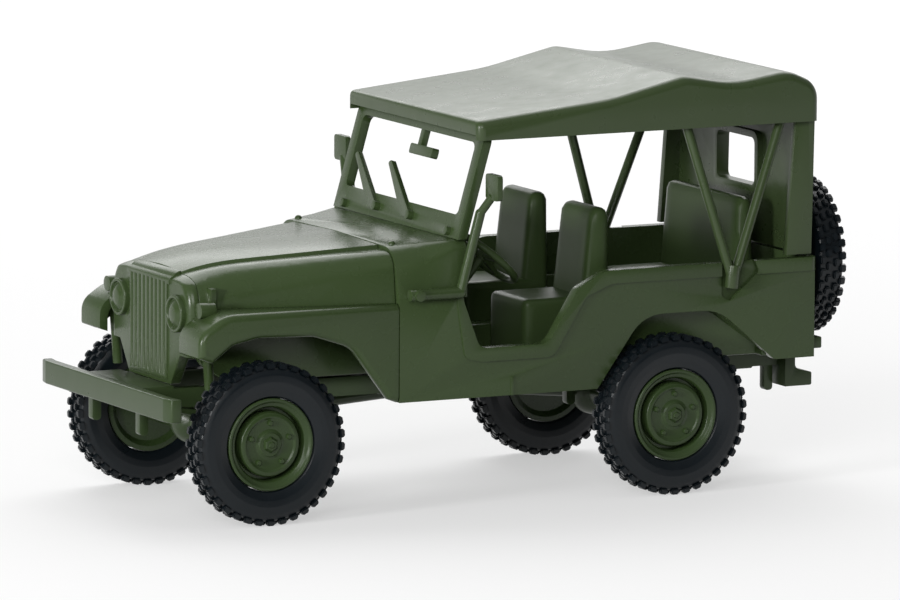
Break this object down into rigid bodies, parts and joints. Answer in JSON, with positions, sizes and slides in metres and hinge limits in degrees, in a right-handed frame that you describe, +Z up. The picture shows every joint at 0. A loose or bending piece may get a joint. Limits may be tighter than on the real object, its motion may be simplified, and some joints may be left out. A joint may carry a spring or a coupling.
{
  "type": "scale model army 4x4 car",
  "caption": "Small one-colour plastic scale model of an unarmed army 4x4 car with a folding top, open sides, tail spare wheel and rolling wheels.",
  "frame": {"origin": "on the ground under the middle of the model's overall length, from the front bumper to the spare tyre", "axes": "+X forward, +Y to the car's left, +Z up"},
  "size_m": [0.0402, 0.0192, 0.0221],
  "materials": {
    "body_olive": "semi-matt moulded olive green plastic",
    "top_olive": "fine-grained matt moulded olive green plastic",
    "interior_olive": "semi-matt moulded olive green plastic",
    "chassis_olive": "semi-matt moulded olive green plastic",
    "rim_olive": "satin moulded olive green plastic",
    "tyre_black": "matt moulded black plastic with a faint sheen"
  },
  "bodies": {
    "root": {"body_tub": "body_olive", "cabin_floor": "body_olive", "bonnet": "body_olive", "front_panel": "body_olive", "left_wing": "body_olive", "right_wing": "body_olive", "inner_aprons": "body_olive", "windscreen_frame": "body_olive", "left_mirror": "body_olive", "right_mirror": "body_olive", "soft_top": "top_olive", "left_top_bows": "top_olive", "right_top_bows": "top_olive", "driver_seat": "interior_olive", "passenger_seat": "interior_olive", "rear_seat": "interior_olive", "steering_wheel": "interior_olive", "chassis_frame": "chassis_olive", "front_axle": "chassis_olive", "rear_axle": "chassis_olive", "front_springs": "chassis_olive", "rear_springs": "chassis_olive", "gearbox": "chassis_olive", "propshafts": "chassis_olive", "front_bumper": "chassis_olive", "rear_bumperettes": "chassis_olive", "tow_hook": "chassis_olive", "spare_carrier": "chassis_olive", "spare_tyre": "tyre_black", "spare_rim": "rim_olive"},
    "front_left_wheel": {"front_left_tyre": "tyre_black", "front_left_rim": "rim_olive"},
    "front_right_wheel": {"front_right_tyre": "tyre_black", "front_right_rim": "rim_olive"},
    "rear_left_wheel": {"rear_left_tyre": "tyre_black", "rear_left_rim": "rim_olive"},
    "rear_right_wheel": {"rear_right_tyre": "tyre_black", "rear_right_rim": "rim_olive"}
  },
  "joints": [
    {"name": "front_left_spin", "type": "hinge", "parent": "root", "child": "front_left_wheel", "pos_m": [0.01425, 0.0073, 0.00425], "axis": [0, 1, 0], "continuous": true},
    {"name": "front_right_spin", "type": "hinge", "parent": "root", "child": "front_right_wheel", "pos_m": [0.01425, -0.0073, 0.00425], "axis": [0, 1, 0], "continuous": true},
    {"name": "rear_left_spin", "type": "hinge", "parent": "root", "child": "rear_left_wheel", "pos_m": [-0.00939, 0.0073, 0.00425], "axis": [0, 1, 0], "continuous": true},
    {"name": "rear_right_spin", "type": "hinge", "parent": "root", "child": "rear_right_wheel", "pos_m": [-0.00939, -0.0073, 0.00425], "axis": [0, 1, 0], "continuous": true}
  ]
}
